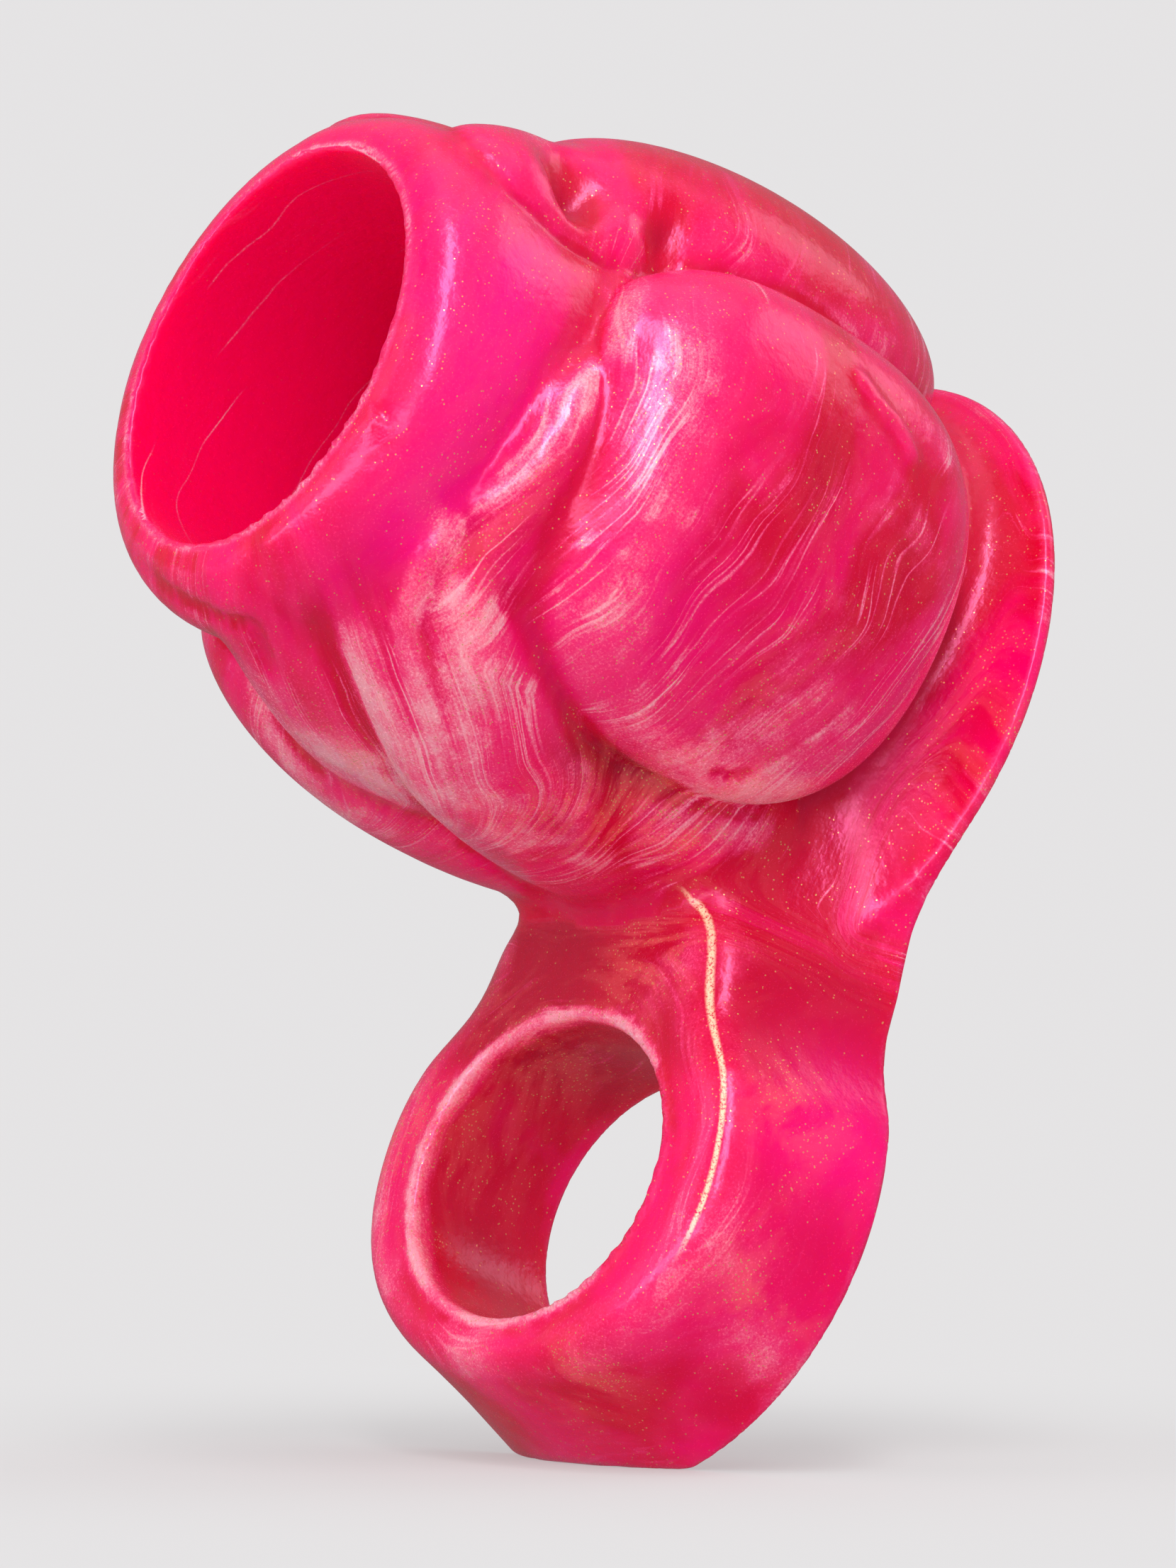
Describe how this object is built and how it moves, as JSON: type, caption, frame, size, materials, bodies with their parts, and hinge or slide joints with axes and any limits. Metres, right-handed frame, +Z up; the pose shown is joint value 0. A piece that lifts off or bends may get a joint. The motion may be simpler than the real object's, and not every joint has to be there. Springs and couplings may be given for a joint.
{
  "type": "silicone suction cup with holding ring",
  "caption": "Hollow lobed silicone cup with a rolled round mouth, a flat back plate and a holding ring below, standing on the ring's foot and leaning back.",
  "frame": {"origin": "middle of the small flat foot under the holding ring, on the floor", "axes": "+Z up; the cup's mouth faces -Y and tilts up by the lean angle; +Y is the side of the flat back; +X is the side of the large dome"},
  "size_m": [0.0676, 0.083, 0.1226],
  "materials": {
    "silicone": "glossy marbled hot pink and pearl silicone with gold mica flecks, slightly translucent"
  },
  "bodies": {
    "root": {"mouth_collar": "silicone", "side_dome": "silicone", "upper_lobe": "silicone", "crown_lobe": "silicone", "shoulder_lobe": "silicone", "far_dome": "silicone", "keel_lobe": "silicone", "fold_lobe": "silicone", "jowl_lobe": "silicone", "back_plate": "silicone", "neck": "silicone", "holding_ring": "silicone"}
  },
  "joints": []
}
